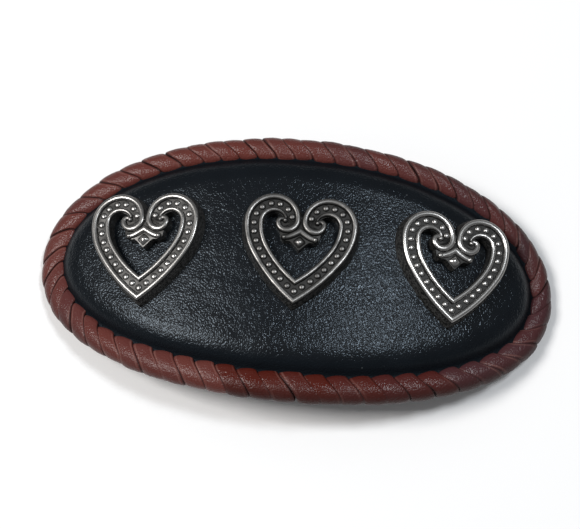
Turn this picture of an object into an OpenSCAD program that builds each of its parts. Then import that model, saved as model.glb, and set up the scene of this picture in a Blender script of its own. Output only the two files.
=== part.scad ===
// Curved oval leather barrette: a moulded black leather panel with a laced edge,
// three scrolled heart studs on its face and a bar clasp behind it.
// The shape is laid out flat, as the leather is cut, and then bent over the head's curve.

/* [Leather] */
// Length of the leather oval, measured along its curve
blank_length = 97; // [85:1:110]
// Width of the leather oval
blank_width = 48.2; // [44:0.2:54]
// Fullness of the oval: 2 is an ellipse, more is squarer
oval_power = 2.08; // [2:0.02:2.3]
// Thickness of the leather
leather_t = 1.8; // [1.4:0.1:2.2]
// How far the moulded middle stands above the edge
raise = 3; // [2:0.1:3.6]
// Radius of the lengthways bend, at the middle of the leather
bend_r = 117; // [105:1:150]

/* [Lacing] */
// Turns of lace around the edge
turns = 57; // [48:1:64]
// How far the lace reaches in from the leather's edge
lace_reach = 4; // [3.5:0.1:4.2]
// Extra height in the middle of each turn of lace
lace_swell = 0.3; // [0:0.05:0.4]

/* [Hearts] */
// Distance of each outer heart from the middle one, along the curve
heart_step = 27.2; // [25:0.1:29]
// Height of a heart's rims above the leather
heart_h = 2.4; // [1.8:0.1:3]
// Depth of the channel between a heart's two rims
channel_d = 0.65; // [0.3:0.05:1]

/* [Clasp] */
// Length of the clasp's base strip along its curve
clasp_length = 66; // [64:1:68]
// Width of the base strip
clasp_w = 8; // [7:0.5:10]
// Room for hair at the middle, between base strip and bar
hair_gap = 7; // [6:0.1:7.4]

/* [Hidden] */
$fn = 64;

half_l = blank_length / 2;
half_w = blank_width / 2;
half_t = leather_t / 2;
crown = half_t + raise;
gap = 0.1;
seat_gap = 0.35;

// Section of the panel's face from its cut edge to its middle: inset from the edge, share of that
// ring's size, share of the raise
FACE = [
    // [inset, spread, rise]
    [0.35, 1, 0],
    [4.3, 1, 0],
    [4.8, 1, 0.15],
    [5.3, 1, 0.43],
    [5.9, 1, 0.68],
    [6.7, 1, 0.83],
    [8, 1, 0.93],
    [8, 0.85, 0.97],
    [8, 0.6, 0.99],
    [8, 0.3, 1],
    [8, 0, 1],
];
PANEL_SIDES = 72;

// One turn of lace, from where it leaves the leather's face, round the edge, to the underside:
// distance outside the cut edge, height above the leather's middle, how far it has run along the
// edge by then, share of the swelling
LACE = [
    // [outward, height, run, swell]
    [-lace_reach, half_t + 0.45, 0, 0.35],
    [-2.6, half_t + 0.85, 0.9, 1],
    [-1, half_t + 0.8, 1.9, 1],
    [0.25, half_t + 0.25, 2.7, 1],
    [0.75, 0, 3.1, 1],
    [0.25, -half_t - 0.25, 3.3, 1],
    [-1, -half_t - 0.8, 3.5, 1],
    [-2.6, -half_t - 0.85, 3.7, 1],
    [-lace_reach, -half_t - 0.45, 3.85, 0.35],
];
// The inside of the lacing, which clears the leather
LACE_INSIDE = [
    // [outward, height]
    [-lace_reach, -half_t - gap],
    [gap, -half_t - gap],
    [gap, half_t + gap],
    [-lace_reach, half_t + gap],
];
STATIONS_PER_TURN = 4;

// The oval edge: a point and its outward direction at an angle round the oval
function signed_power(v, p) = sign(v) * pow(abs(v), p);
function oval_point(a) = [
    half_l * signed_power(cos(a), 2 / oval_power),
    half_w * signed_power(sin(a), 2 / oval_power)
];
function unit(v) = v / norm(v);
function oval_out(p) = unit([
    signed_power(p[0] / half_l, oval_power - 1) / half_l,
    signed_power(p[1] / half_w, oval_power - 1) / half_w
]);

// Length run along the edge against angle, so that turns of lace are evenly spaced
EDGE_STEPS = 360;
function run_table(i = 0, total = 0, table = []) =
    i > EDGE_STEPS ? table : run_table(
        i + 1,
        total + norm(oval_point(i + 1) - oval_point(i)),
        concat(table, [[total, i]])
    );
RUN = run_table();
edge_length = RUN[EDGE_STEPS][0];
turn_pitch = edge_length / turns;
function edge_at(length) = let (
    p = oval_point(lookup(length, RUN))
) [p, oval_out(p)];

// Bends a point of the flat layout, at height h over the leather's middle, round the lengthways curve
function bent(p, h) = [
    (bend_r + h) * sin(p[0] / bend_r * 180 / PI),
    p[1],
    (bend_r + h) * cos(p[0] / bend_r * 180 / PI) - bend_r
];

// Panel: its face, and the same section one thickness below it, as rings of points that are closed
// at both ends by one middle point. Each row is a ring: inset, spread, height
face_rows = len(FACE);
FACE_RINGS = [for (row = FACE) [row[0], row[1], half_t + row[2] * raise]];
function face_normal(k) = let (
    before = FACE_RINGS[max(k - 1, 0)],
    after = FACE_RINGS[min(k + 1, face_rows - 1)]
) k > 0 && after[1] == 1 ? unit([before[2] - after[2], after[0] - before[0]]) : [0, 1];
UNDER_RINGS = [
    for (k = [0 : face_rows - 1])
        let (n = face_normal(k), row = FACE_RINGS[k])
            [row[0] - leather_t * n[0], row[1], row[2] - leather_t * n[1]]
];
EDGE_RINGS = [[0, 1, -half_t / 2], [0, 1, half_t / 2]];
PANEL = concat([for (k = [face_rows - 1 : -1 : 0]) UNDER_RINGS[k]], EDGE_RINGS, FACE_RINGS);
function panel_ring(row) = [
    for (i = [0 : PANEL_SIDES - 1])
        let (e = edge_at(edge_length * i / PANEL_SIDES))
            bent((e[0] - row[0] * e[1]) * row[1], row[2])
];
rings = len(PANEL);
PANEL_POINTS = concat(
    [bent([0, 0], PANEL[0][2])],
    [for (k = [1 : rings - 2]) each panel_ring(PANEL[k])],
    [bent([0, 0], PANEL[rings - 1][2])]
);
function ring_index(k, i) = 1 + (k - 1) * PANEL_SIDES + i % PANEL_SIDES;
PANEL_FACES = concat(
    [for (i = [0 : PANEL_SIDES - 1]) [0, ring_index(1, i), ring_index(1, i + 1)]],
    [for (k = [1 : rings - 3]) for (i = [0 : PANEL_SIDES - 1])
        [ring_index(k, i), ring_index(k + 1, i), ring_index(k + 1, i + 1)]],
    [for (k = [1 : rings - 3]) for (i = [0 : PANEL_SIDES - 1])
        [ring_index(k, i), ring_index(k + 1, i + 1), ring_index(k, i + 1)]],
    [for (i = [0 : PANEL_SIDES - 1])
        [len(PANEL_POINTS) - 1, ring_index(rings - 2, i + 1), ring_index(rings - 2, i)]]
);

// Lacing: one C-shaped section swept round the edge, swollen at the middle of every turn
stations = turns * STATIONS_PER_TURN;
lace_rows = len(LACE);
section_size = lace_rows + len(LACE_INSIDE);
function lace_normal(k) = let (
    before = LACE[max(k - 1, 0)],
    after = LACE[min(k + 1, lace_rows - 1)],
    along = [after[0] - before[0], after[1] - before[1]]
) unit([-along[1], along[0]]);
function swelling(length, k) = let (
    phase = (length - LACE[k][2]) / turn_pitch,
    share = abs(sin(180 * phase))
) lace_swell * LACE[k][3] * pow(share, 0.7);
function lace_section(length) = let (e = edge_at(length)) concat(
    [for (k = [0 : lace_rows - 1])
        let (q = [LACE[k][0], LACE[k][1]] + swelling(length, k) * lace_normal(k))
            bent(e[0] + q[0] * e[1], q[1])],
    [for (q = LACE_INSIDE) bent(e[0] + q[0] * e[1], q[1])]
);
LACE_POINTS = [for (j = [0 : stations - 1]) each lace_section(edge_length * j / stations)];
function lace_index(j, k) = (j % stations) * section_size + k % section_size;
LACE_FACES = concat(
    [for (j = [0 : stations - 1]) for (k = [0 : section_size - 1])
        [lace_index(j, k), lace_index(j, k + 1), lace_index(j + 1, k + 1)]],
    [for (j = [0 : stations - 1]) for (k = [0 : section_size - 1])
        [lace_index(j, k), lace_index(j + 1, k + 1), lace_index(j + 1, k)]]
);

// The barrette stands on its two laced ends, so their lowest point is the ground
lift = -min([for (p = LACE_POINTS) p[2]]);
axis_z = lift - bend_r;

module front_panel() {
    color([0.06, 0.07, 0.09])
        translate([0, 0, lift])
            polyhedron(PANEL_POINTS, PANEL_FACES, convexity = 6);
}

module lacing() {
    color([0.42, 0.22, 0.19])
        translate([0, 0, lift])
            polyhedron(LACE_POINTS, LACE_FACES, convexity = 8);
}

// Heart outline: lobe, side and lower arcs that run smoothly into each other
lobe_c = [4.9, 5];
side_sweep = 32;
// Radii of the lobe, side and lower arcs along the crest of each rim
OUTER = [4.85, 11, 31];
INNER = [2.35, 9, 21.8];
// Curl of the rim inside each lobe: centre, radius, first and last angle
CURL = [
    // [centre, radius, from, to]
    [[1.95, 5.52], 1.85, 170, 335],
    [[2.86, 5.1], 0.85, -25, 150],
];
wall_draft = 0.75;
rim_half = 0.33;
floor_h = heart_h - channel_d;
hole_edge = 0.5;
heart_sink = 1.2;

function arc(c, r, from, to, n) = [
    for (i = [0 : n]) let (a = from + (to - from) * i / n) c + r * [cos(a), sin(a)]
];
function side_centre(r) = [lobe_c[0] + r[0] - r[1], lobe_c[1]];
function low_centre(r) = side_centre(r) + (r[1] - r[2]) * [cos(side_sweep), -sin(side_sweep)];
// Right half of a heart curve from its point, up the side and over the lobe as far as an angle
function heart_half(r, d, to) = let (
    c = low_centre(r)
) concat(
    arc(c, r[2] + d, -acos(-c[0] / (r[2] + d)), -side_sweep, 8),
    [for (p = arc(side_centre(r), r[1] + d, -side_sweep, 0, 5)) if (p[1] > lobe_c[1] - r[1]) p],
    arc(lobe_c, r[0] + d, 0, to, 16)
);
function valley_angle(r) = r > lobe_c[0] ? acos(-lobe_c[0] / r) : 180;
function curl_points(d) = [for (c = CURL) each arc(c[0], c[1] + d, c[2], c[3], 10)];
function backwards(list) = [for (i = [len(list) - 1 : -1 : 0]) list[i]];
function mirrored(list) = [for (p = list) [-p[0], p[1]]];

// The filled heart inside an outer curve that is d bigger than its rim's crest
module heart_area(r, d) {
    half = heart_half(r, d, valley_angle(r[0] + d));
    polygon(concat(half, backwards(mirrored(half))));
}

// The open middle of the heart, without the two curls and the ornament between them
module heart_hole() {
    low = concat(
        arc(low_centre(INNER), INNER[2] - hole_edge,
            -acos(-low_centre(INNER)[0] / (INNER[2] - hole_edge)), -side_sweep, 8),
        arc(side_centre(INNER), INNER[1] - hole_edge, -side_sweep, 0, 5)
    );
    polygon(concat(low, backwards(mirrored(low))));
    for (side = [-1, 1])
        translate([side * lobe_c[0], lobe_c[1]])
            circle(INNER[0] - hole_edge);
}

module curls() {
    for (side = [-1, 1])
        for (c = CURL)
            translate([side * c[0][0], c[0][1]])
                circle(c[1] + 0.4);
}

// Pointed leaf that hangs below the curls
LEAF = [[0, -0.3], [1.3, 1.2], [1.9, 1.9], [2.7, 2], [3.4, 2.9], [3.5, 4.2]];
module leaf_area() {
    polygon(concat(LEAF, [[0, 6]], backwards(mirrored(LEAF))));
}

// Raised rim along a row of points given at two offsets
module rim(outside, inside) {
    polygon(concat(outside, backwards(inside)));
}

module heart_rims() {
    for (side = [0, 1])
        mirror([side, 0]) {
            rim(concat(heart_half(OUTER, rim_half, CURL[0][2]), curl_points(rim_half)),
                concat(heart_half(OUTER, -rim_half, CURL[0][2]), curl_points(-rim_half)));
            rim(heart_half(INNER, rim_half, 140), heart_half(INNER, -rim_half, 140));
        }
}

// Arrowhead bar and lozenge on the leaf
module leaf_relief() {
    for (side = [0, 1])
        mirror([side, 0])
            polygon([[0, 3.9], [2.6, 2.9], [2.5, 2.35], [0, 3.3]]);
    polygon([[0, 2.8], [1.1, 1.5], [0, 0.2], [-1.1, 1.5]]);
}

// A heart standing on z = 0, its underside hollowed to sit on the bent leather
module heart() {
    color([0.5, 0.49, 0.46])
        difference() {
            union() {
                translate([0, 0, -heart_sink])
                    linear_extrude(heart_sink + floor_h) {
                        difference() {
                            heart_area(OUTER, wall_draft);
                            heart_hole();
                        }
                        curls();
                        leaf_area();
                    }
                linear_extrude(heart_h)
                    heart_rims();
                linear_extrude(heart_h - 0.1)
                    leaf_relief();
            }
            translate([0, 0, -bend_r - crown])
                rotate([90, 0, 0])
                    cylinder(r = bend_r + crown + gap, h = 40, center = true, $fn = 180);
        }
}

// Where each heart sits: distance along the curve, distance up the oval, turn in its own plane
HEARTS = [
    // [along, up, turn]
    [-heart_step, 0.15, 1.5],
    [0.2, 1.15, -0.7],
    [heart_step + 0.2, 1.25, 0.2],
];
module placed_heart(i) {
    along = HEARTS[i][0];
    translate([0, HEARTS[i][1], axis_z])
        rotate([0, along / bend_r * 180 / PI, 0])
            translate([0, 0, bend_r + crown])
                rotate([0, 0, HEARTS[i][2]])
                    heart();
}

// Clasp: base strip under the panel, bar below it, hinge barrel at one end and latch at the other
strip_t = 0.8;
bar_w = 7;
bar_r = 290;
end_x = 31;
base_top_r = bend_r + crown - leather_t - seat_gap;
base_low_r = base_top_r - strip_t;
base_low_z = axis_z + base_low_r;
bar_top_z = base_low_z - hair_gap;
function base_z(x) = axis_z + sqrt(base_low_r * base_low_r - x * x);
function bar_z(x) = bar_top_z - bar_r + sqrt(bar_r * bar_r - x * x);

// Flat strip with round ends, cut upright through a bent sheet
module strip_outline(length, width) {
    square([length - width, width], center = true);
    for (side = [-1, 1])
        translate([side * (length - width) / 2, 0])
            circle(width / 2);
}

// Sheet bent to a radius about a level axis: its upper face has that radius
module bent_sheet(r, t, z, width) {
    translate([0, 0, z])
        rotate([90, 0, 0])
            difference() {
                cylinder(r = r, h = width + 2, center = true, $fn = 180);
                cylinder(r = r - t, h = width + 4, center = true, $fn = 180);
            }
}

module bent_strip(length, width, r, t, z) {
    intersection() {
        bent_sheet(r, t, z, width);
        linear_extrude(60)
            strip_outline(length, width);
    }
}

barrel_r = 1.5;
ear_t = 0.9;
pin_r = 0.7;

// Ears of the base strip with the pin through them, and the bar's end rolled round the pin
module hinge() {
    z = bar_z(end_x) - barrel_r + 0.5;
    for (side = [-1, 1])
        translate([-end_x, side * (clasp_w - ear_t) / 2, 0])
            rotate([90, 0, 0])
                linear_extrude(ear_t, center = true) {
                    translate([0, z])
                        circle(barrel_r + 0.3);
                    polygon([
                        [-barrel_r - 0.3, z],
                        [barrel_r + 0.3, z],
                        [3, base_z(end_x - 3) + strip_t / 2],
                        [-2, base_z(end_x + 2) + strip_t / 2]
                    ]);
                }
    translate([-end_x, 0, z])
        rotate([90, 0, 0]) {
            cylinder(r = pin_r, h = clasp_w + 1, center = true);
            cylinder(r = barrel_r, h = clasp_w - ear_t, center = true);
        }
}

// Post of the base strip that the bar's free end snaps over, with two side grips
module latch() {
    z = bar_z(end_x) - strip_t;
    post_low = z - 0.8;
    post_h = base_z(end_x) + strip_t / 2 - post_low;
    translate([end_x, 0, post_low + post_h / 2])
        cube([1, 5, post_h], center = true);
    for (side = [-1, 1])
        translate([end_x - 1.5, side * (bar_w / 2 + 0.2), z + 0.9])
            cube([5, 0.9, 2.6], center = true);
}

module clasp() {
    color([0.72, 0.72, 0.7]) {
        bent_strip(clasp_length, clasp_w, base_top_r, strip_t, axis_z);
        bent_strip(2 * end_x + 3, bar_w, bar_r, strip_t, bar_top_z - bar_r);
        hinge();
        latch();
    }
}

front_panel();
lacing();
placed_heart(0);  // heart_left
placed_heart(1);  // heart_middle
placed_heart(2);  // heart_right
clasp();
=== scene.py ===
"""Leather barrette: black moulded front, laced edge, three cast scroll hearts and a bar clasp.

Leather, lace and hearts are modelled in millimetres. The leather and the lace are laid out flat, as they
are cut, and then bent lengthways over the head's curve. Each piece is then set down in the frame in metres.
The clasp keeps its CAD shape, with its edges broken.
"""

import math
import random
from contextlib import contextmanager

import bmesh
import bpy
from mathutils import Matrix, Vector


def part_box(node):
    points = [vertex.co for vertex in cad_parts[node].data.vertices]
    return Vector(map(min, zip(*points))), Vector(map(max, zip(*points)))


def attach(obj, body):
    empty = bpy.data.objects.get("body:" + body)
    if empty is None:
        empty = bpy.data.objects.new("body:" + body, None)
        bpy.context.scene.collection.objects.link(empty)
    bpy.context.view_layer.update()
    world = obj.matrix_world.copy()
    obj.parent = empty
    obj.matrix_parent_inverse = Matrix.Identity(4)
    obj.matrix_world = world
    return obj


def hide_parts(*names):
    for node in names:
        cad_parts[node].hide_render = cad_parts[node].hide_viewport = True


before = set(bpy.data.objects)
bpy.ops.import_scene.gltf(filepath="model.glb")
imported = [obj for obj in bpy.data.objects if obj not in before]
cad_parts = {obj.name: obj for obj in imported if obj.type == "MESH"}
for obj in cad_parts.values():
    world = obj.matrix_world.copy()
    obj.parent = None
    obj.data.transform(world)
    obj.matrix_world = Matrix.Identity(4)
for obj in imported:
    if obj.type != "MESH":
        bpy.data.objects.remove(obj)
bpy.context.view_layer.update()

MM = 0.001

# The leather, in millimetres
BEND_R = 117.0
LEATHER_T = 1.8
HALF_T = LEATHER_T / 2
RAISE = 3.0
CROWN = HALF_T + RAISE
HALF_L = 48.5
HALF_W = 24.1
OVAL_POWER = 2.08

# Where the frame puts it: the top of the front panel is the crown of the bent leather
CROWN_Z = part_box("front_panel")[1].z / MM
LAYOUT_Z = CROWN_Z - CROWN
AXIS_Z = LAYOUT_Z - BEND_R
LAYOUT_TO_FRAME = Matrix.Translation((0, 0, LAYOUT_Z))


# Small helpers for modelling


def take(*pieces):
    """Selects these objects alone, the first one active."""
    if bpy.context.object and bpy.context.object.mode != "OBJECT":
        bpy.ops.object.mode_set(mode="OBJECT")
    bpy.ops.object.select_all(action="DESELECT")
    for piece in pieces:
        piece.select_set(True)
    bpy.context.view_layer.objects.active = pieces[0]


def named(name):
    """Names the active object, such as one that an operator has just added."""
    piece = bpy.context.object
    piece.name = piece.data.name = name
    return piece


def link_new(name, data):
    piece = bpy.data.objects.new(name, data)
    bpy.context.collection.objects.link(piece)
    return piece


@contextmanager
def editing(piece, kind="VERT"):
    """Edit mode on one piece, to select by vertex, edge or face."""
    take(piece)
    bpy.ops.object.mode_set(mode="EDIT")
    bpy.ops.mesh.select_mode(type=kind)
    yield
    bpy.ops.object.mode_set(mode="OBJECT")


def pick(piece, test):
    """Selects the vertices of the piece being edited whose place passes the test."""
    bpy.ops.mesh.select_all(action="DESELECT")
    mesh = bmesh.from_edit_mesh(piece.data)
    for vertex in mesh.verts:
        vertex.select = test(vertex.co)
    mesh.select_flush_mode()
    bmesh.update_edit_mesh(piece.data)


def modify(piece, kind, **settings):
    """Puts a modifier on the piece and applies it."""
    take(piece)
    modifier = piece.modifiers.new(kind.title(), kind)
    for name, value in settings.items():
        setattr(modifier, name, value)
    bpy.ops.object.modifier_apply(modifier=modifier.name)


def face_outwards(piece):
    """Turns all its faces to look out of the solid."""
    with editing(piece):
        bpy.ops.mesh.select_all(action="SELECT")
        bpy.ops.mesh.normals_make_consistent(inside=False)


def round_edges(piece, width, segments, angle):
    """Rounds each edge that is sharper than the angle, given in degrees."""
    limit = math.radians(angle)
    modify(piece, "BEVEL", width=width, segments=segments, limit_method="ANGLE", angle_limit=limit)


def extrude(*step):
    bpy.ops.mesh.extrude_region_move(TRANSFORM_OT_translate={"value": step})


def spin(angle, steps, centre, axis):
    """Sweeps the selected section round a centre, anticlockwise seen against the axis."""
    bpy.ops.mesh.spin(steps=steps, angle=-angle, center=centre, axis=axis)


def join(name, pieces):
    take(*pieces)
    bpy.ops.object.join()
    return named(name)


def outline(name, points):
    """A flat face inside a closed outline."""
    mesh = bpy.data.meshes.new(name)
    mesh.from_pydata([(x, y, 0) for x, y in points], [], [range(len(points))])
    return link_new(name, mesh)


def poly_curve(name, points, closed=False):
    """A curve that runs straight from point to point, all of them flat."""
    data = bpy.data.curves.new(name, "CURVE")
    spline = data.splines.new("POLY")
    spline.points.add(len(points) - 1)
    for point, (x, y) in zip(spline.points, points):
        point.co = (x, y, 0, 1)
    spline.use_cyclic_u = closed
    return link_new(name, data)


def swell(piece, name, size, strength):
    """Raises and lowers the surface a little, in a pattern of procedural clouds."""
    pattern = bpy.data.textures.new(name, "CLOUDS")
    pattern.noise_scale = size
    pattern.noise_depth = 2
    modify(piece, "DISPLACE", texture=pattern, strength=strength, mid_level=0.5)


def clamp(value):
    return min(1.0, max(0.0, value))


def signed_power(value, power):
    return math.copysign(abs(value) ** power, value)


def oval_point(angle):
    """A point of the leather's cut edge."""
    x = HALF_L * signed_power(math.cos(angle), 2 / OVAL_POWER)
    y = HALF_W * signed_power(math.sin(angle), 2 / OVAL_POWER)
    return x, y


def make_bend_guide():
    """An empty whose axes make the bend modifier bend along X, away from the face."""
    take(*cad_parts.values())
    bpy.ops.object.empty_add(rotation=(math.radians(-90), 0, 0))
    guide = bpy.context.object
    guide.name = "bend_guide"
    return guide


bend_guide = make_bend_guide()


def bend_lengthways(piece):
    along = [vertex.co.x for vertex in piece.data.vertices]
    angle = (max(along) - min(along)) / BEND_R
    modify(piece, "SIMPLE_DEFORM", deform_method="BEND", origin=bend_guide, deform_axis="Z", angle=angle)


def set_down(piece, place=LAYOUT_TO_FRAME):
    """Moves a piece from the flat layout to its place in the frame, in metres."""
    take(piece)
    piece.matrix_world = Matrix.Scale(MM, 4) @ place @ piece.matrix_world
    bpy.ops.object.transform_apply(location=True, rotation=True, scale=True)


def hand_over(piece, material, slot, *nodes):
    """Gives a finished piece its finish and its place on the frame."""
    piece.data.materials.clear()
    piece.data.materials.append(material)
    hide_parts(*nodes)
    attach(piece, "root")


# Shading


class Shading:
    """Adds nodes to a material or a group, with their inputs linked or set by name."""

    def __init__(self, tree):
        self.tree = tree

    def add(self, kind, inputs=None, **settings):
        node = self.tree.nodes.new("ShaderNode" + kind)
        for name, value in settings.items():
            setattr(node, name, value)
        for name, value in (inputs or {}).items():
            self.set(node.inputs[name], value)
        return node

    def set(self, socket, value):
        if isinstance(value, bpy.types.NodeSocket):
            self.tree.links.new(value, socket)
        elif isinstance(value, bpy.types.Node):
            self.tree.links.new(value.outputs[0], socket)
        else:
            socket.default_value = value

    def maths(self, operation, a, b):
        return self.add("Math", {0: a, 1: b}, operation=operation).outputs[0]

    def ramp(self, value, low, high, to_low=0.0, to_high=1.0):
        """A soft step from one value to another."""
        inputs = {"Value": value, "From Min": low, "From Max": high, "To Min": to_low, "To Max": to_high}
        return self.add("MapRange", inputs, interpolation_type="SMOOTHSTEP").outputs[0]

    def blend(self, share, a, b):
        """Mixes two colours. A Mix node has sockets for numbers and vectors before those for colours."""
        return self.add("Mix", {0: share, 6: a, 7: b}, data_type="RGBA").outputs[2]

    def group(self, group, place):
        return self.add("Group", {"Vector": place}, node_tree=group)

    def place(self):
        return self.add("TexCoord").outputs["Object"]

    def mark(self, name):
        """A value that the modelling has stored on the piece."""
        return self.add("Attribute", attribute_name=name).outputs["Fac"]

    def noise(self, place, scale, detail, **inputs):
        node = self.add("TexNoise", {"Vector": place, "Scale": scale, "Detail": detail, **inputs})
        return node.outputs["Fac"]

    def bump(self, skin, height, strength, distance):
        node = self.add("Bump", {"Height": height, "Strength": strength, "Distance": distance})
        self.set(skin["Normal"], node)


def shader_group(name, outputs):
    """A node group that is given a place and puts out values, with its helper, place and output sockets."""
    group = bpy.data.node_groups.new(name, "ShaderNodeTree")
    group.interface.new_socket("Vector", in_out="INPUT", socket_type="NodeSocketVector")
    for socket in outputs:
        group.interface.new_socket(socket, in_out="OUTPUT", socket_type="NodeSocketFloat")
    start = group.nodes.new("NodeGroupInput")
    end = group.nodes.new("NodeGroupOutput")
    return group, Shading(group), start.outputs["Vector"], end.inputs


# Scales of the patterns, in waves or cells per metre
CELLS = 2900.0
CELL_WARP = 900.0
CELL_PORES = 8000.0
MOTTLE = 160.0
SPECKS = 520.0
# How far the cells are pushed about, in metres, and how softly they run into each other
WARP_REACH = 0.0007
CELL_SOFTNESS = 0.35
PORE_DEPTH = 0.08
# The share of places that hold a speck
SPECK_SHARE = 0.16


def make_pebble_group():
    """Pebbled leather grain: rounded cells with fine pores over them, and larger patches."""
    group, look, place, out = shader_group("pebble_grain", ["Height", "Mottle"])
    warp = look.add("TexNoise", {"Vector": place, "Scale": CELL_WARP, "Detail": 1.0})
    nudge = look.add("VectorMath", {0: warp.outputs["Color"], 1: (0.5, 0.5, 0.5)}, operation="SUBTRACT")
    small = look.add("VectorMath", {0: nudge, "Scale": WARP_REACH}, operation="SCALE")
    warped = look.add("VectorMath", {0: place, 1: small}, operation="ADD")
    cell_inputs = {"Vector": warped, "Scale": CELLS, "Smoothness": CELL_SOFTNESS}
    cells = look.add("TexVoronoi", cell_inputs, feature="SMOOTH_F1")
    rounded = look.maths("SUBTRACT", 1.0, look.maths("POWER", cells.outputs["Distance"], 2.0))
    pores = look.maths("MULTIPLY", look.noise(place, CELL_PORES, 2.0), PORE_DEPTH)
    look.set(out["Height"], look.maths("ADD", rounded, pores))
    look.set(out["Mottle"], look.noise(place, MOTTLE, 3.0))
    return group


def make_dust_group():
    """Sparse pale specks, such as lint and dust."""
    group, look, place, out = shader_group("dust", ["Mask"])
    specks = look.add("TexVoronoi", {"Vector": place, "Scale": SPECKS})
    near = look.ramp(specks.outputs["Distance"], 0.03, 0.1, 1.0, 0.0)
    drawn = look.add("SeparateColor", {0: specks.outputs["Color"]}).outputs[0]
    few = look.maths("GREATER_THAN", drawn, 1 - SPECK_SHARE)
    look.set(out["Mask"], look.maths("MULTIPLY", near, few))
    return group


pebble_grain = make_pebble_group()
dust = make_dust_group()


# Colours: linear red, green and blue, and alpha
BLACK_DYE = (0.0016, 0.0025, 0.0038, 1)
BLACK_DYE_FADED = (0.0032, 0.0048, 0.0070, 1)
DUST = (0.16, 0.17, 0.18, 1)
BLUISH_SHEEN = (0.71, 0.86, 1.0, 1)
FLESH_DYE = (0.010, 0.009, 0.009, 1)
FLESH_DYE_FADED = (0.034, 0.030, 0.028, 1)
MAROON = (0.052, 0.0205, 0.0240, 1)
RED_BROWN = (0.118, 0.0310, 0.0240, 1)
# Deep red, darker than the lace's dye, as painted shade for the turns at the bottom that catch little sheen
SHADED_DEEP_RED = (0.066, 0.0080, 0.0035, 1)
LACE_WAX = (0.060, 0.0190, 0.0180, 1)
# A pale colour near the lace's edges: partly scuffing, partly a painted highlight where the cut edges catch
# light
LACE_SCUFF_AND_HIGHLIGHT = (0.24, 0.12, 0.10, 1)
# Painted shade for the lace: in its seams and on the outer part of each turn, where it curves down over the
# edge
LACE_PAINTED_SHADE = (0.022, 0.008, 0.007, 1)
METAL_BLACKENED = (0.028, 0.0275, 0.0265, 1)
METAL_RUBBED = (0.16, 0.157, 0.151, 1)
METAL_POLISHED = (0.37, 0.362, 0.35, 1)
STEEL_GREY = (0.52, 0.51, 0.49, 1)
STEEL_BRIGHT = (0.66, 0.65, 0.62, 1)
PALE_FLOOR = (0.86, 0.86, 0.86, 1)
ROOM_LIGHT = (0.96, 0.98, 1.0, 1)


def new_material(name):
    """A material, the helper for its nodes and the sockets of its shader."""
    material = bpy.data.materials.new(name)
    material.use_nodes = True
    look = Shading(material.node_tree)
    return material, look, material.node_tree.nodes["Principled BSDF"].inputs


def make_black_leather():
    """Dyed, pebbled and lightly waxed, dull in the corner at the foot of its wall."""
    material, look, skin = new_material("black_leather")
    place = look.place()
    grain = look.group(pebble_grain, place)
    specks = look.group(dust, place)
    corner = look.mark("corner")
    dyed = look.blend(grain.outputs["Mottle"], BLACK_DYE, BLACK_DYE_FADED)
    dusty = look.maths("MULTIPLY", specks.outputs["Mask"], 0.35)
    look.set(skin["Base Color"], look.blend(dusty, dyed, DUST))
    waxy = look.ramp(grain.outputs["Mottle"], 0.3, 0.7, 0.12, 0.18)
    look.set(skin["Roughness"], look.maths("ADD", waxy, look.maths("MULTIPLY", corner, 0.42)))
    skin["Specular IOR Level"].default_value = 0.16
    look.set(skin["Coat Weight"], look.ramp(corner, 0.0, 1.0, 0.24, 0.0))
    skin["Coat Roughness"].default_value = 0.42
    skin["Coat IOR"].default_value = 1.35
    skin["Specular Tint"].default_value = BLUISH_SHEEN
    look.bump(skin, grain.outputs["Height"], 0.72, 0.00009)
    return material


def make_flesh_leather():
    """The leather's raw back: dyed, dull and fibrous."""
    material, look, skin = new_material("flesh_leather")
    place = look.place()
    fibres = look.noise(place, 1800.0, 5.0, Roughness=0.7)
    patches = look.noise(place, 120.0, 2.0)
    faded = look.ramp(look.maths("MULTIPLY", fibres, patches), 0.15, 0.4)
    look.set(skin["Base Color"], look.blend(faded, FLESH_DYE, FLESH_DYE_FADED))
    skin["Roughness"].default_value = 0.9
    look.bump(skin, fibres, 0.7, 0.0002)
    return material


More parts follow.
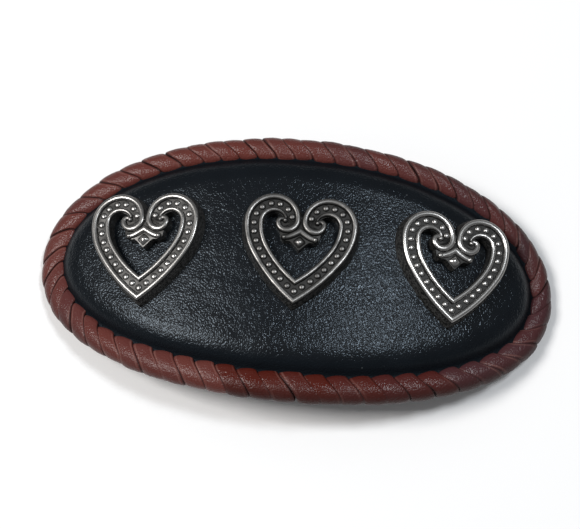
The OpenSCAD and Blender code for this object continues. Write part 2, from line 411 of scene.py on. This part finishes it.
def make_brown_lace():
    """Waxed lace, its tone as the table of turns says, with painted highlights and scuffs near its edges and
    painted shade in its seams and on its outer part.
    """
    material, look, skin = new_material("brown_lace")
    grain = look.group(pebble_grain, look.place())
    mottle = grain.outputs["Mottle"]
    edge = look.mark("lace_edge")
    outer = look.mark("lace_outer")
    tone = look.mark("lace_tone_and_shade")
    faded = look.blend(look.ramp(tone, 0.0, 0.5), MAROON, RED_BROWN)
    # The deep red is partly painted shade, for the turns at the bottom that catch little sheen
    deep = look.blend(look.ramp(tone, 0.5, 0.65), faded, SHADED_DEEP_RED)
    dyed = look.blend(look.ramp(tone, 0.75, 1.2), deep, MAROON)
    waxed = look.blend(look.maths("MULTIPLY", mottle, 0.35), dyed, LACE_WAX)
    # A patchy pale band near each turn's edges: partly scuffs, partly a painted highlight on the cut edges
    near_edge = look.maths("MULTIPLY", look.ramp(edge, 0.68, 0.8), look.ramp(edge, 0.8, 0.88, 1.0, 0.0))
    scuff_and_highlight_share = look.maths("MULTIPLY", near_edge, look.ramp(mottle, 0.4, 0.7, 0.0, 0.4))
    scuffed_and_highlit = look.blend(scuff_and_highlight_share, waxed, LACE_SCUFF_AND_HIGHLIGHT)
    # Painted shade on the outer part of each turn, where it curves down over the edge, stronger on some
    # turns than others by their tone
    outer_shade_share = look.maths("ADD", look.ramp(tone, 0.0, 0.5, 0.85, 0.25), look.ramp(tone, 0.5, 0.65, 0.0, 0.5))
    outer_shade = look.maths("MULTIPLY", outer, outer_shade_share)
    # Painted shade in the seams at the very edges of each turn, and on the outer parts
    dark = look.maths("MAXIMUM", look.ramp(edge, 0.87, 1.0, 0.0, 0.88), outer_shade)
    look.set(skin["Base Color"], look.blend(dark, scuffed_and_highlit, LACE_PAINTED_SHADE))
    waxy = look.ramp(mottle, 0.3, 0.7, 0.19, 0.32)
    look.set(skin["Roughness"], look.maths("ADD", waxy, look.maths("MULTIPLY", dark, 0.3)))
    skin["Specular IOR Level"].default_value = 0.19
    look.bump(skin, grain.outputs["Height"], 0.6, 0.00012)
    return material


def make_antiqued_metal():
    """Cast metal with darkened recesses and hand-polished ridges."""
    material, look, skin = new_material("antiqued_metal")
    place = look.place()
    pits = look.noise(place, 2600.0, 4.0, Roughness=0.6)
    uneven = look.maths("MULTIPLY", look.noise(place, 420.0, 3.0), 0.5)
    polish = look.maths("ADD", look.mark("polish"), look.maths("SUBTRACT", uneven, 0.25))
    worn = look.ramp(polish, 0.45, 1.05)
    rubbed = look.maths("MULTIPLY", look.mark("wall"), look.ramp(pits, 0.42, 0.6))
    dark = look.blend(rubbed, METAL_BLACKENED, METAL_RUBBED)
    look.set(skin["Base Color"], look.blend(worn, dark, METAL_POLISHED))
    look.set(skin["Metallic"], look.ramp(worn, 0.0, 0.6, 0.8, 1.0))
    look.set(skin["Roughness"], look.ramp(worn, 0.0, 1.0, 0.42, 0.26))
    look.bump(skin, pits, 0.12, 0.00004)
    return material


def make_clasp_steel():
    """Plated spring steel, brushed lengthways."""
    material, look, skin = new_material("clasp_steel")
    place = look.place()
    stretched = look.add("Mapping", {"Vector": place, "Scale": (60.0, 4500.0, 4500.0)})
    brushed = look.noise(stretched.outputs[0], 1.0, 3.0)
    patches = look.noise(place, 200.0, 3.0)
    look.set(skin["Base Color"], look.blend(patches, STEEL_GREY, STEEL_BRIGHT))
    skin["Metallic"].default_value = 1.0
    look.set(skin["Roughness"], look.ramp(patches, 0.3, 0.7, 0.26, 0.36))
    look.bump(skin, brushed, 0.12, 0.00005)
    return material


# The moulded leather front

# Steps from the cut edge over the flange, up the moulded wall and on to the raised middle
WALL = [
    # (how far in, how far up)
    (3.3, 0.0),
    (0.45, 0.14),
    (0.5, 0.5),
    (0.45, 0.6),
    (0.55, 0.55),
    (0.8, 0.40),
    (1.0, 0.28),
    (1.2, 0.20),
]
EDGE_POINTS = 216
GRID_SPAN = 36
# The corner mark is full up to 1.4 mm above the flange and fades out at 2.4 mm
CORNER_TOP = 2.4
CUT_EDGE_ROUND = 0.8
# Heights that differ by less than this count as the same
SAME_HEIGHT = 0.01
# Faces that look down more steeply than this are the leather's raw back
BACK_SLOPE = -0.2


def make_leather_front():
    """The panel, from its cut edge inwards: flange, moulded wall and dome, then thickened and bent."""
    bpy.ops.mesh.primitive_circle_add(vertices=EDGE_POINTS, radius=1, fill_type="NGON")
    piece = named("leather_front")
    for vertex in piece.data.vertices:
        angle = math.atan2(vertex.co.y, vertex.co.x)
        vertex.co = (*oval_point(angle), HALF_T)
    with editing(piece, "FACE"):
        bpy.ops.mesh.select_all(action="SELECT")
        for step_in, step_up in WALL:
            bpy.ops.mesh.inset(thickness=step_in, depth=step_up)
        bpy.ops.mesh.delete(type="ONLY_FACE")
        top = HALF_T + sum(step_up for _, step_up in WALL)
        bpy.ops.mesh.select_mode(type="VERT")
        pick(piece, lambda place: place.z > top - SAME_HEIGHT)
        bpy.ops.mesh.select_mode(type="EDGE")
        bpy.ops.mesh.fill_grid(span=GRID_SPAN)
    inner = sum(step_in for step_in, _ in WALL)
    for vertex in piece.data.vertices:
        if vertex.co.z > top - SAME_HEIGHT:
            reach = (vertex.co.x / (HALF_L - inner)) ** 2 + (vertex.co.y / (HALF_W - inner)) ** 2
            vertex.co.z += (CROWN - top) * max(0.0, 1 - reach)
    face_outwards(piece)
    corner = piece.data.attributes.new("corner", "FLOAT", "POINT")
    for vertex, mark in zip(piece.data.vertices, corner.data):
        mark.value = clamp(CORNER_TOP - (vertex.co.z - HALF_T))
    modify(piece, "SOLIDIFY", thickness=LEATHER_T, offset=-1, use_even_offset=True)
    round_edges(piece, CUT_EDGE_ROUND, 4, 60)
    modify(piece, "SUBSURF", levels=1, render_levels=1)
    swell(piece, "hide_swell", 5.0, 0.18)
    bend_lengthways(piece)
    set_down(piece)
    bpy.ops.object.shade_smooth()
    return piece


# The lace, whipped round the edge

LACE_T = 1.0
# Half the lace's width, as a share of half the distance between two turns
LACE_HALF_W = 1.08
# How round the lace's section is: 1 would be an ellipse, 0 a box
LACE_ROUNDNESS = 0.42
LACE_SECTION = 14
# One turn: how far its middle line lies over the leather's, how far in its holes lie, how far it stands
# out past the cut edge, how tightly it bends into a hole, and how near its ends come to the leather's middle
LACE_CORE_R = HALF_T + 0.1 + LACE_T / 2
LACE_REACH = 4.0
LACE_OUT = 0.4
LACE_BEND_R = 0.6
LACE_END_Z = 0.15
LACE_FLAT_STEPS = 3
LACE_BEND_STEPS = 3
LACE_ROUND_STEPS = 7
# Distance from turn to turn in the array, before they are laid out
LACE_ARRAY_STEP = 3
EDGE_CURVE_POINTS = 720

# How the turns lie, read round the edge from the right end and on over the top: turn number, distance
# along the edge, reach in from the edge, lean of the turn, skew of its inner end, how far it stands out,
# and its tone: 0 maroon, 0.5 red-brown, 0.7 deep red, and from there back to maroon at 1.2. The tone is
# partly the lace's dye and partly painted shade: the deep red turns at the bottom are painted darker and
# redder where the lace catches little sheen.
LACE_LAY = [
    # (turn, along, reach, lean, skew, out, tone)
    (0, 0.4, 3.75, 1.1, 0.15, 0.15, 0.2),
    (2, 8.6, 3.4, 1.15, 0.1, 0.25, 0.12),
    (4, 16.9, 2.95, 1.15, 0.1, 0.3, 0.12),
    (9, 36.7, 3.4, 1.0, 0.05, 0.05, 0.22),
    (14, 57.5, 3.75, 0.7, 0.1, 0.0, 0.4),
    (20, 78.8, 3.6, 0.8, 0.05, 0.05, 0.45),
    (24, 96.1, 3.5, 1.0, 0.05, 0.3, 0.4),
    (28, 114.8, 4.3, 1.05, 0.15, 0.45, 0.35),
    (31, 126.3, 4.3, 0.9, 0.2, 0.3, 0.3),
    (34, 138.4, 3.75, 1.05, 0.35, 0.2, 0.35),
    (38, 155.7, 4.1, 0.75, 0.4, 0.25, 0.45),
    (43, 175.5, 4.3, 0.8, 0.3, 0.3, 0.72),
    (47, 192.4, 4.0, 0.7, 0.35, 0.35, 0.9),
    (51, 209.5, 3.75, 1.0, 0.4, 0.35, 1.08),
    (54, 223.1, 3.6, 1.15, 0.3, 0.3, 1.15),
    (57, 236.43, 3.75, 1.1, 0.15, 0.15, 1.2),
]
TURNS = LACE_LAY[-1][0]
# How far a turn may differ from the table, since it is laid by hand, each as (lowest, highest)
PLAY_ALONG = (-0.12, 0.12)
PLAY_REACH = (-0.15, 0.15)
PLAY_LEAN = (0.93, 1.07)
PLAY_SKEW = (-0.06, 0.06)
PLAY_OUT = (-0.08, 0.1)
PLAY_TONE = (-0.1, 0.12)
# How much higher or lower a turn lies than flat leather would put it, and how much higher at one side
PLAY_HEIGHT = (-0.07, 0.07)
PLAY_TILT = (0.02, 0.12)
# The lift behind the edge, as a share of the lift over the face
BACK_LIFT = -0.3
# How rounded a turn's inner end is, and how much more so where it is skewed
END_ROUND, END_ROUND_SKEWED = 0.3, 0.6
# How far in from the cut edge a turn begins to stand out, and over what length it comes to do so fully
STAND_FROM, STAND_LENGTH = 2.0, 2.9
# How far in from the cut edge it begins to dip towards its holes, and how steeply
DIP_FROM, DIP = 1.2, 0.035
# The share of the way out from its end at which painted shade begins on a turn, where it curves down over
# the edge
OUTER_SHADE_FROM = 0.55


def lay_at(turn):
    """How one turn of lace lies, between the rows of the table."""
    for low, high in zip(LACE_LAY, LACE_LAY[1:]):
        if turn <= high[0]:
            share = (turn - low[0]) / (high[0] - low[0])
            return [a + share * (b - a) for a, b in zip(low[1:], high[1:])]
    return list(LACE_LAY[-1][1:])


def lace_section_point(angle):
    """The lace is flat on the side that lies on the leather and a little crowned on the other."""
    across = LACE_HALF_W * signed_power(math.cos(angle), LACE_ROUNDNESS)
    thick = signed_power(math.sin(angle), LACE_ROUNDNESS) * LACE_T / 2
    return across, thick * (1.2 - 0.24 * across**2 if thick > 0 else 0.8)


def make_lace_turn():
    """One turn from the hole in the face, round the edge, to the hole in the back."""
    bpy.ops.mesh.primitive_circle_add(vertices=LACE_SECTION, radius=1, fill_type="NGON")
    piece = named("edge_lacing")
    for i, vertex in enumerate(piece.data.vertices):
        across, thick = lace_section_point(2 * math.pi * (i + 0.5) / LACE_SECTION)
        vertex.co = (across, LACE_REACH + thick, LACE_END_Z)
    bend_y = LACE_REACH - LACE_BEND_R
    bend_z = LACE_CORE_R - LACE_BEND_R
    round_y = LACE_CORE_R - LACE_OUT
    flat_step = (bend_y - round_y) / LACE_FLAT_STEPS
    with editing(piece, "FACE"):
        bpy.ops.mesh.select_all(action="SELECT")
        extrude(0, 0, bend_z - LACE_END_Z)
        spin(math.pi / 2, LACE_BEND_STEPS, (0, bend_y, bend_z), (1, 0, 0))
        for _ in range(LACE_FLAT_STEPS):
            extrude(0, -flat_step, 0)
        spin(math.pi, LACE_ROUND_STEPS, (0, round_y, 0), (1, 0, 0))
        for _ in range(LACE_FLAT_STEPS):
            extrude(0, flat_step, 0)
        spin(math.pi / 2, LACE_BEND_STEPS, (0, bend_y, -bend_z), (1, 0, 0))
        extrude(0, 0, bend_z - LACE_END_Z)
    return piece


def lay_lace(piece):
    """Spaces, leans and slightly varies the turns, which the array has put one after another."""
    rng = random.Random(5)
    vertices = piece.data.vertices
    size = len(vertices) // TURNS
    core = []
    for first in range(0, size, LACE_SECTION):
        ring = [vertices[k].co for k in range(first, first + LACE_SECTION)]
        core.append(sum(ring, Vector()) / LACE_SECTION)
    edge = piece.data.attributes.new("lace_edge", "FLOAT", "POINT")
    tone = piece.data.attributes.new("lace_tone_and_shade", "FLOAT", "POINT")
    outer = piece.data.attributes.new("lace_outer", "FLOAT", "POINT")
    for turn in range(TURNS):
        along, reach, lean, skew, stand, listed_tone_and_shade = lay_at(turn)
        pitch = lay_at(turn + 1)[0] - along
        along += rng.uniform(*PLAY_ALONG)
        reach += rng.uniform(*PLAY_REACH)
        lean *= rng.uniform(*PLAY_LEAN)
        skew += rng.uniform(*PLAY_SKEW)
        stand += rng.uniform(*PLAY_OUT)
        height = rng.uniform(*PLAY_HEIGHT)
        tilt = rng.uniform(*PLAY_TILT)
        shade = listed_tone_and_shade + rng.uniform(*PLAY_TONE)
        run = lean * (reach + LACE_OUT)
        for k in range(size):
            i = turn * size + k
            middle = core[k // LACE_SECTION]
            vertex = vertices[i]
            across = vertex.co.x - LACE_ARRAY_STEP * turn
            inset, z = vertex.co.y, vertex.co.z
            out = (LACE_REACH - middle.y) / (LACE_REACH + LACE_OUT)
            edge.data[i].value = abs(across)
            outer.data[i].value = clamp((out - OUTER_SHADE_FROM) / (1 - OUTER_SHADE_FROM))
            tone.data[i].value = shade
            # A turn leans over the face, and runs on to the next hole behind it
            advance = run * out if middle.z > -SAME_HEIGHT else pitch - (pitch - run) * out
            vertex.co.x = along + pitch * (0.5 + 0.5 * across) + advance
            # Its inner end is rounded and skewed, and its outer part stands out over the edge
            end = reach + skew * across - (END_ROUND + END_ROUND_SKEWED * abs(skew)) * across**4
            if inset > 0:
                inset *= end / (LACE_REACH + LACE_T / 2)
            vertex.co.y = inset - stand * clamp((STAND_FROM - vertex.co.y) / STAND_LENGTH)
            # It dips towards its holes, and its lift is full from a quarter of the way out
            dip = DIP * max(0.0, middle.y - DIP_FROM) ** 2
            lift = (height + tilt * across) * min(1.0, out * 4)
            vertex.co.z = z * (1 - dip) + lift * (1 if z > 0 else BACK_LIFT)


def make_edge_curve():
    """The leather's cut edge as a closed curve, run anticlockwise from the right end."""
    count = EDGE_CURVE_POINTS
    points = [oval_point(2 * math.pi * i / count) for i in range(count)]
    curve = poly_curve("cut_edge", points, closed=True)
    curve.data.dimensions = "3D"
    return curve


def make_lacing():
    """All the turns, run along the cut edge and bent with the leather, and pressed flat on the ground."""
    piece = make_lace_turn()
    offset = {"use_relative_offset": False, "use_constant_offset": True}
    step = (LACE_ARRAY_STEP, 0, 0)
    modify(piece, "ARRAY", count=TURNS, constant_offset_displace=step, **offset)
    lay_lace(piece)
    modify(piece, "SUBSURF", levels=1, render_levels=1)
    swell(piece, "lace_rumple", 1.4, 0.12)
    edge_curve = make_edge_curve()
    modify(piece, "CURVE", object=edge_curve, deform_axis="POS_X")
    bpy.data.objects.remove(edge_curve)
    bend_lengthways(piece)
    set_down(piece)
    with editing(piece):
        pick(piece, lambda place: place.z < 0)
        bpy.ops.transform.resize(value=(1, 1, 0), center_override=(0, 0, 0))
    bpy.ops.object.shade_smooth()
    return piece


# The cast hearts

HEART_H = 2.4
CHANNEL_D = 0.65
FLOOR_H = HEART_H - CHANNEL_D
# How deep a solid starts below the leather's face as it is modelled, and how deep the finished foot lies
HEART_SINK = 1.2
HEART_SEAT = 0.45
FOOT_STEP = 0.01
LOBE_X, LOBE_Y = 4.9, 5.0
SIDE_SWEEP = math.radians(32)
# Radii of the arcs along the crests of the two rims: the lobe's half by the notch, the lobe's outer half,
# the side, and the long arc down to the point
OUTER = (4.25, 4.85, 11.0, 31.0)
INNER = (2.35, 2.35, 9.0, 21.8)
# The outer rim's curl inside the lobe, its angles in degrees
CURL = [
    # (centre x, centre y, radius, from, to)
    (2.65, 5.6, 2.0, 180, 270),
    (2.65, 5.1, 1.5, -90, 0),
    (3.5, 5.1, 0.65, 0, 150),
]
# Half widths of the ridges, as rows of (share of the way along, half width)
OUTER_RIM = [(0, 0.56), (0.8, 0.54), (0.88, 0.62), (0.95, 0.54), (1, 0.4)]
INNER_RIM = [(0, 0.5), (0.85, 0.48), (1, 0.28)]
CHEVRON = [(0, 0.6), (1, 0.52)]
# The right half of the chevron's middle line
CHEVRON_PATH = [(-0.25, 3.72), (0, 3.6), (0.6, 3.2), (1.2, 2.82), (1.8, 2.5), (2.3, 2.32), (2.8, 2.2)]
ARC_STEP = 0.15
RIM_SIDES = 24
RIM_ROUNDNESS = 0.8
# How far each rim runs on past the heart's point, in radians, so that its mirrored half meets it
PAST_TIP = 0.03
# Where the inner rim leaves its arc, and the points that it ends on inside the curl
INNER_LAST = math.radians(142)
INNER_END = [(2.88, 6.2), (2.8, 5.9)]
CURL_END_R = 0.5
CHEVRON_END_R, CHEVRON_END_H = 0.6, 0.7
# How far the plate reaches past the middle line of a rim, and how much further its foot does
PLATE_EDGE = 0.46
WALL_DRAFT = 0.65
# Faces below this height that look up or down less than this are walls
WALL_TOP = FLOOR_H - 0.1
STEEP = 0.7
BEAD_R = 0.63
BEAD_H = 0.31
BEAD_STEP = 1.66
BEAD_LAST = math.radians(163)
POINT_BEAD_UP = 0.1
NUB_FOOT_R, NUB_TOP_R, NUB_H = 1.5, 0.45, 0.65
NUB_PLACE = (0, 1.58, FLOOR_H + 0.22)
# The last two corners of the curl's ground, by the notch between the lobes
CURL_BASE_END = [(2.4, 6.4), (0.9, 6.6)]
# The right half of the leaf that hangs between the curls
LEAF = [(0, 0.0), (1.25, 1.3), (1.8, 1.7), (2.9, 1.6), (3.5, 2.2), (3.7, 3.2), (3.5, 4.2), (0, 6)]

# Where each heart sits on the leather, and how bright it is, partly wear and partly painted light
HEARTS = {
    # node: (along, up, turn in degrees, polish and painted light of its recesses, polish and painted light
    # of its ridges)
    "heart_left": (-26.95, 0.25, 1.8, 0.57, 0.86),
    "heart_middle": (0.3, 1.15, -0.7, 0.1, 0.75),
    "heart_right": (27.55, 1.25, 0.2, 0.35, 1.1),
}


def arc(x, y, radius, start, end):
    """Points along an arc, its angles in radians, about one step apart."""
    count = max(2, round(abs(end - start) * radius / ARC_STEP))
    angles = [start + (end - start) * i / count for i in range(count + 1)]
    return [(x + radius * math.cos(a), y + radius * math.sin(a)) for a in angles]


def lower_centre(radii):
    """The centre of the long arc on the right."""
    _, lobe, side, low = radii
    x = LOBE_X + lobe - side
    return x + (side - low) * math.cos(SIDE_SWEEP), LOBE_Y - (side - low) * math.sin(SIDE_SWEEP)


def tip_angle(radii, grow):
    """Where the lower arc meets the heart's middle line."""
    return -math.acos(-lower_centre(radii)[0] / (radii[3] + grow))


def half_heart(radii, grow, lobe_end, past_tip=0.0):
    """The right half of a heart's outline from its point up to an angle on the lobe."""
    notch, lobe, side, low = radii
    start = tip_angle(radii, grow) - past_tip
    return (
        arc(*lower_centre(radii), low + grow, start, -SIDE_SWEEP)
        + arc(LOBE_X + lobe - side, LOBE_Y, side + grow, -SIDE_SWEEP, 0)[1:]
        + arc(LOBE_X, LOBE_Y, lobe + grow, 0, math.pi / 2)[1:]
        + arc(LOBE_X, LOBE_Y + lobe - notch, notch + grow, math.pi / 2, lobe_end)[1:]
    )


def mirrored(points):
    """A closed outline from its right half, which starts and ends on the middle line or beside it."""
    left = [(-x, y) for x, y in reversed(points) if abs(x) > 1e-6]
    return points + left


def block(name, points, top, draft=0.0):
    """A solid that rises from a closed outline below the leather, its walls leaning in by the draft."""
    piece = outline(name, points)
    piece.location.z = -HEART_SINK
    with editing(piece, "FACE"):
        bpy.ops.mesh.select_all(action="SELECT")
        extrude(0, 0, FOOT_STEP)
        bpy.ops.mesh.inset(thickness=draft, depth=top + HEART_SINK - FOOT_STEP)
    take(piece)
    bpy.ops.object.transform_apply(location=True)
    face_outwards(piece)
    return piece


def width_at(share, widths):
    """The width at a share of the way along, between the rows of (share, width)."""
    for low, high in zip(widths, widths[1:]):
        if share <= high[0]:
            return low[1] + (high[1] - low[1]) * (share - low[0]) / (high[0] - low[0])
    return widths[-1][1]


def mark_polish(piece, foot, height):
    """Marks how far each point rises over a foot, because buffing only reaches what stands up."""
    polish = piece.data.attributes.new("polish", "FLOAT", "POINT")
    for vertex, mark in zip(piece.data.vertices, polish.data):
        mark.value = clamp((vertex.co.z - foot) / height)


def make_rim_section():
    """The section of a rim, one unit wide to each side and worn a little flat on top."""
    angles = [2 * math.pi * i / RIM_SIDES for i in range(RIM_SIDES)]
    points = [
        (signed_power(math.cos(a), RIM_ROUNDNESS), signed_power(math.sin(a), RIM_ROUNDNESS)) for a in angles
    ]
    return poly_curve("rim_section", points, closed=True)


rim_section = make_rim_section()


def ridge(name, points, widths, height):
    """A rounded ridge along a path at floor level, its right half as given and its left half mirrored.

    Its half widths are (share, width) rows, and where it starts it has the given height.
    """
    curve = poly_curve(name, points)
    curve.data.dimensions = "3D"
    curve.data.bevel_mode = "OBJECT"
    curve.data.bevel_object = rim_section
    curve.data.use_fill_caps = True
    last = len(points) - 1
    for i, point in enumerate(curve.data.splines[0].points):
        point.radius = width_at(i / last, widths)
    take(curve)
    bpy.ops.object.convert(target="MESH")
    piece = named(name)
    piece.scale.z = height / widths[0][1]
    piece.location.z = FLOOR_H
    bpy.ops.object.transform_apply(location=True, scale=True)
    mark_polish(piece, FLOOR_H, height)
    modify(piece, "MIRROR", use_bisect_axis=(True, False, False))
    face_outwards(piece)
    return piece


def bead_path():
    """The middle of the channel from the heart's point to the curl, and the length run at each point."""
    radii = tuple((a + b) / 2 for a, b in zip(OUTER, INNER))
    points = half_heart(radii, 0, BEAD_LAST)
    lengths = [0.0]
    for a, b in zip(points, points[1:]):
        lengths.append(lengths[-1] + math.dist(a, b))
    return points, lengths


def dome(name, x, y, radius, height):
    """A low round dome on the channel's floor."""
    bpy.ops.mesh.primitive_ico_sphere_add(
        subdivisions=3, radius=radius, location=(x, y, FLOOR_H), scale=(1, 1, height / radius)
    )
    piece = named(name)
    bpy.ops.object.transform_apply(location=True, scale=True)
    mark_polish(piece, FLOOR_H, height)
    return piece


def make_beads():
    """Beads spaced evenly along the channel, in pairs above the one in the heart's point."""
    points, lengths = bead_path()
    count = round(lengths[-1] / BEAD_STEP)
    beads = [dome("bead", 0, points[0][1] + POINT_BEAD_UP, BEAD_R, BEAD_H)]
    for n in range(1, count + 1):
        target = lengths[-1] * n / count
        i = min(range(len(lengths)), key=lambda k: abs(lengths[k] - target))
        x, y = points[i]
        beads.append(dome("bead", x, y, BEAD_R, BEAD_H))
        beads.append(dome("bead", -x, y, BEAD_R, BEAD_H))
    return join("beads", beads)


def make_nub():
    """The four-sided point on the leaf, its edges rounded."""
    bpy.ops.mesh.primitive_cone_add(
        vertices=4, radius1=NUB_FOOT_R, radius2=NUB_TOP_R, depth=NUB_H, location=NUB_PLACE
    )
    piece = named("nub")
    bpy.ops.object.transform_apply(location=True)
    round_edges(piece, 0.3, 5, 20)
    mark_polish(piece, FLOOR_H - 0.1, 0.5)
    return piece


def make_curl_base():
    """The raised ground under the right curl, which follows a quarter turn of each of its arcs."""
    points = []
    for x, y, radius, start, _ in CURL:
        points += arc(x, y, radius + PLATE_EDGE, math.radians(start), math.radians(start + 90))[1:]
    return block("curl_base", points + CURL_BASE_END, FLOOR_H)


def make_heart_casting():
    """One heart on flat ground, its foot following the leather's curve a little below its face."""
    foot = PLATE_EDGE + WALL_DRAFT
    valley = math.acos(-LOBE_X / (OUTER[0] + foot))
    blank = block("blank", mirrored(half_heart(OUTER, foot, valley)), FLOOR_H, WALL_DRAFT)
    window = block("window", mirrored(half_heart(INNER, -PLATE_EDGE, math.pi)), FLOOR_H + 1)
    modify(blank, "BOOLEAN", object=window, operation="DIFFERENCE", solver="MANIFOLD")
    bpy.data.objects.remove(window)
    curl_base = make_curl_base()
    modify(curl_base, "MIRROR")
    parts = [blank, curl_base]
    leaf = block("leaf", mirrored(LEAF), FLOOR_H)
    round_edges(leaf, 0.25, 4, 50)
    parts.append(leaf)

    outer = half_heart(OUTER, 0, math.pi, PAST_TIP)
    for x, y, radius, start, end in CURL:
        outer += arc(x, y, radius, math.radians(start), math.radians(end))[1:]
    parts.append(ridge("outer_rim", outer, OUTER_RIM, CHANNEL_D))
    inner = half_heart(INNER, 0, INNER_LAST, PAST_TIP) + INNER_END
    parts.append(ridge("inner_rim", inner, INNER_RIM, CHANNEL_D))
    parts.append(ridge("chevron", CHEVRON_PATH, CHEVRON, CHANNEL_D))
    for side in (1, -1):
        x, y = outer[-1]
        parts.append(dome("curl_end", side * x, y, CURL_END_R, CHANNEL_D))
        x, y = CHEVRON_PATH[-1]
        parts.append(dome("chevron_end", side * x, y, CHEVRON_END_R, CHEVRON_END_H))
    parts.append(make_nub())
    parts.append(make_beads())

    casting = join("heart_casting", parts)
    face_r = BEND_R + CROWN
    for vertex in casting.data.vertices:
        if vertex.co.z < -HEART_SINK / 2:
            vertex.co.z += math.sqrt(face_r**2 - vertex.co.x**2) - face_r + HEART_SINK - HEART_SEAT
    wall = casting.data.attributes.new("wall", "FLOAT", "FACE")
    for face, mark in zip(casting.data.polygons, wall.data):
        is_wall = face.center.z < WALL_TOP and abs(face.normal.z) < STEEP
        mark.value = 1.0 if is_wall else 0.0
    return casting


def make_hearts():
    """The three hearts, each a copy of the casting with its own polish and painted light, turn and place."""
    casting = make_heart_casting()
    hearts = {}
    for name, (along, up, turn, recess_polish_and_light, ridge_polish_and_light) in HEARTS.items():
        heart = casting.copy()
        heart.data = casting.data.copy()
        heart.name = heart.data.name = name + "_cast"
        bpy.context.collection.objects.link(heart)
        # Scales the polish mark for each heart: partly wear, partly painted light that makes one heart
        # lighter and another darker
        for mark in heart.data.attributes["polish"].data:
            mark.value = recess_polish_and_light + mark.value * (ridge_polish_and_light - recess_polish_and_light)
        place = (
            Matrix.Translation((0, up, AXIS_Z))
            @ Matrix.Rotation(along / BEND_R, 4, "Y")
            @ Matrix.Translation((0, 0, BEND_R + CROWN))
            @ Matrix.Rotation(math.radians(turn), 4, "Z")
        )
        set_down(heart, place)
        bpy.ops.object.shade_smooth_by_angle(angle=math.radians(55))
        hearts[name] = heart
    bpy.data.objects.remove(casting)
    bpy.data.objects.remove(rim_section)
    return hearts


# The bar clasp

# In metres, because the clasp starts from the frame's own shape
CLASP_EDGE_ROUND = 0.00012
CLASP_WELD = 0.000002


def make_clasp():
    """The clasp's own shape with its edges broken, as stamped and plated strip has them."""
    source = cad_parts["clasp"]
    piece = source.copy()
    piece.data = source.data.copy()
    piece.parent = None
    for key in list(piece.keys()):
        del piece[key]
    piece.name = piece.data.name = "bar_clasp"
    bpy.context.collection.objects.link(piece)
    with editing(piece):
        bpy.ops.mesh.select_all(action="SELECT")
        bpy.ops.mesh.remove_doubles(threshold=CLASP_WELD)
        bpy.ops.mesh.dissolve_limited(angle_limit=math.radians(1))
    round_edges(piece, CLASP_EDGE_ROUND, 2, 40)
    bpy.ops.object.shade_smooth_by_angle(angle=math.radians(35))
    return piece


# Floor, light and camera

# The photo's view: angles in degrees, lengths in millimetres
VIEW_ELEVATION = 71.98
VIEW_AZIMUTH = 5.83
VIEW_ROLL = -0.55
VIEW_DISTANCE = 240.0
VIEW_TARGET = (-1.0, -1.017)
VIEW_LENS = 82.84
# In metres
VIEW_NEAR = 0.01
FLOOR_SIZE = 3


def make_camera():
    elevation, azimuth = math.radians(VIEW_ELEVATION), math.radians(VIEW_AZIMUTH)
    level = math.cos(elevation)
    back = Vector((math.sin(azimuth) * level, -math.cos(azimuth) * level, math.sin(elevation)))
    right = Vector((0, 0, 1)).cross(back).normalized()
    axes = Matrix((right, back.cross(right), back)).transposed().to_4x4()
    target = Vector((*VIEW_TARGET, CROWN_Z))
    place = Matrix.Translation((target + back * VIEW_DISTANCE) * MM)
    take(*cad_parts.values())
    bpy.ops.object.camera_add()
    camera = bpy.context.object
    camera.name = "camera"
    camera.matrix_world = place @ axes @ Matrix.Rotation(math.radians(VIEW_ROLL), 4, "Z")
    camera.data.lens = VIEW_LENS
    camera.data.clip_start = VIEW_NEAR
    bpy.context.scene.camera = camera


def make_floor():
    bpy.ops.mesh.primitive_plane_add(size=FLOOR_SIZE)
    floor = named("floor")
    material, _, skin = new_material("pale_floor")
    skin["Base Color"].default_value = PALE_FLOOR
    skin["Roughness"].default_value = 0.9
    floor.data.materials.append(material)


# Area lights: name, size in metres, power in watts, colour, direction to it, distance in metres
LIGHTS = [
    ("left_light", 0.29, 6.3, (1.0, 0.98, 0.96), (-0.55, -0.02, 0.83), 0.9),
    ("right_light", 0.17, 3.1, (0.92, 0.96, 1.0), (0.30, 0.17, 0.92), 0.9),
]
ROOM_STRENGTH = 0.24


def make_lights():
    for name, size, power, colour, direction, distance in LIGHTS:
        towards = Vector(direction).normalized()
        bpy.ops.object.light_add(type="AREA", location=towards * distance)
        light = bpy.context.object
        light.name = light.data.name = name
        light.data.size = size
        light.data.energy = power
        light.data.color = colour
        light.rotation_euler = towards.to_track_quat("Z", "Y").to_euler()
    world = bpy.data.worlds.new("soft_room")
    bpy.context.scene.world = world
    world.use_nodes = True
    background = world.node_tree.nodes["Background"].inputs
    background["Color"].default_value = ROOM_LIGHT
    background["Strength"].default_value = ROOM_STRENGTH


def main():
    make_camera()
    make_floor()
    make_lights()
    bpy.context.scene.view_settings.view_transform = "Standard"

    front = make_leather_front()
    hand_over(front, make_black_leather(), "black_leather", "front_panel")
    front.data.materials.append(make_flesh_leather())
    for face in front.data.polygons:
        face.material_index = 1 if face.normal.z < BACK_SLOPE else 0
    hand_over(make_lacing(), make_brown_lace(), "brown_lace", "lacing")
    metal = make_antiqued_metal()
    for node, heart in make_hearts().items():
        hand_over(heart, metal, "antiqued_metal", node)
    hand_over(make_clasp(), make_clasp_steel(), "clasp_steel", "clasp")
    bpy.data.objects.remove(bend_guide)


main()
